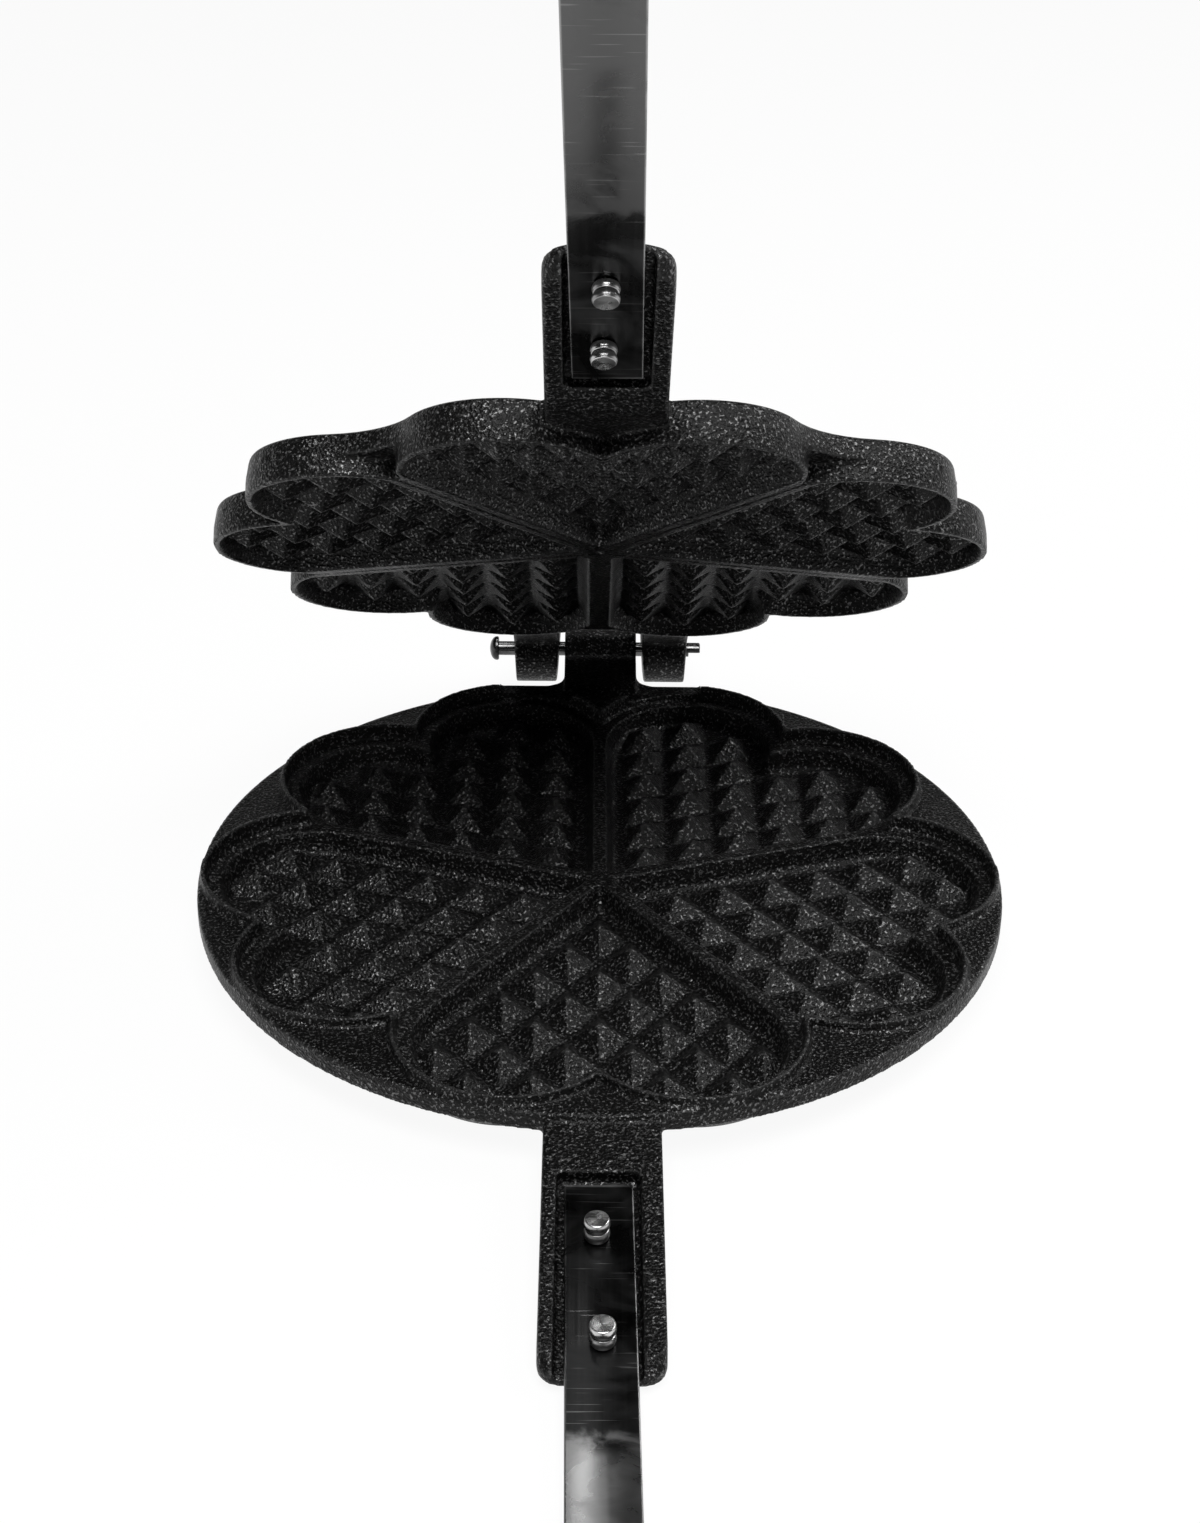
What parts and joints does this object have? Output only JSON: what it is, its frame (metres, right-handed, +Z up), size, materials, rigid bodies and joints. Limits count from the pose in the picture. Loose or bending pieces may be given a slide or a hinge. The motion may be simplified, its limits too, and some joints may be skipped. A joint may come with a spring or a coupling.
{
  "type": "stovetop waffle iron",
  "caption": "Hinged cast iron waffle iron for a stovetop, with heart-shaped moulds in both plates and riveted strap handles, standing open.",
  "frame": {"origin": "centre of the flat base that stands on the hob", "axes": "+Z up, -Y towards the handles, +Y towards the hinge, +X to the right seen from the handles"},
  "size_m": [0.2308, 0.4741, 0.3448],
  "materials": {
    "cast_iron": "bare sand-cast, nearly black, fine grain",
    "strap_steel": "dark satin, mottled",
    "bright_steel": "bright, with turning marks"
  },
  "bodies": {
    "base_assembly": {"lower_plate": "cast_iron", "hinge_pin": "bright_steel", "lower_handle": "strap_steel", "lower_rivet_inner": "bright_steel", "lower_rivet_outer": "bright_steel", "lower_rivet_collar_inner": "bright_steel", "lower_rivet_collar_outer": "bright_steel"},
    "lid_assembly": {"upper_plate": "cast_iron", "upper_handle": "strap_steel", "upper_rivet_inner": "bright_steel", "upper_rivet_outer": "bright_steel", "upper_rivet_collar_inner": "bright_steel", "upper_rivet_collar_outer": "bright_steel"}
  },
  "joints": [
    {"name": "lid_hinge", "type": "hinge", "parent": "base_assembly", "child": "lid_assembly", "pos_m": [0, 0.1378, 0.0172], "axis": [-1, 0, 0], "range_deg": [-39.7, 55.3]}
  ]
}
